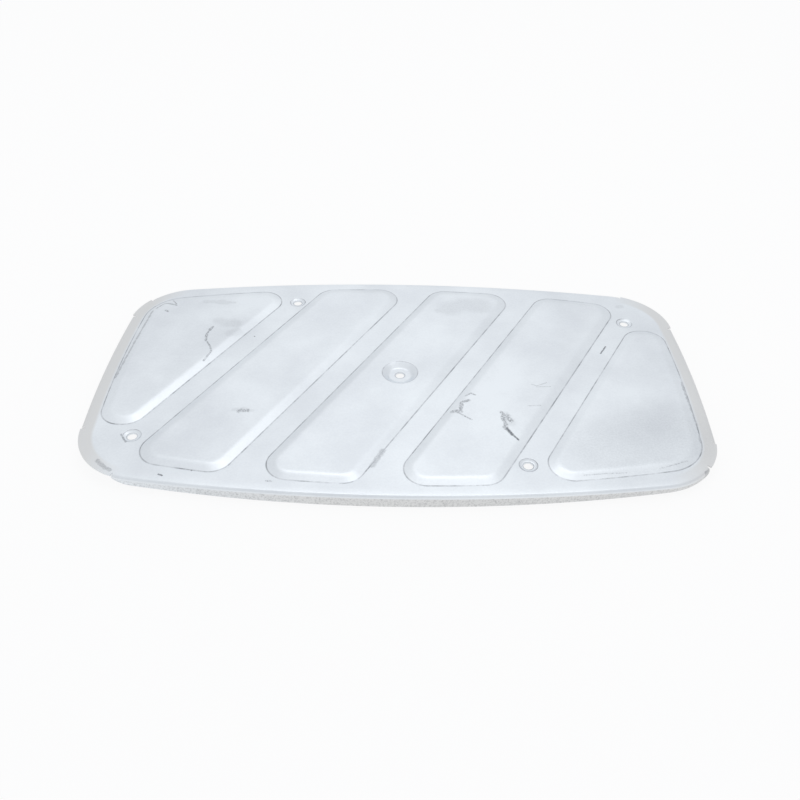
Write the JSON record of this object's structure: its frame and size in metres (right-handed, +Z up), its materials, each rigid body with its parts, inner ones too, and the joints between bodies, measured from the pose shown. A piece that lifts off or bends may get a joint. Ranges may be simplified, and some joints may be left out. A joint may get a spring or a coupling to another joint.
{
  "type": "exhaust heat shield",
  "caption": "Pressed sheet-metal exhaust heat shield with leaning raised pads, turned-down edge flanges and dished bolt holes",
  "frame": {"origin": "under the middle of the panel, on the plane of the flanges' lower edges", "axes": "X along the panel's length, Y across it towards the back edge, Z up out of the raised side"},
  "size_m": [0.6178, 0.352, 0.0162],
  "materials": {
    "sheet": "aluminised steel sheet, pale and mottled, with handling scuffs"
  },
  "bodies": {
    "root": {"heat_shield": "sheet"}
  },
  "joints": []
}
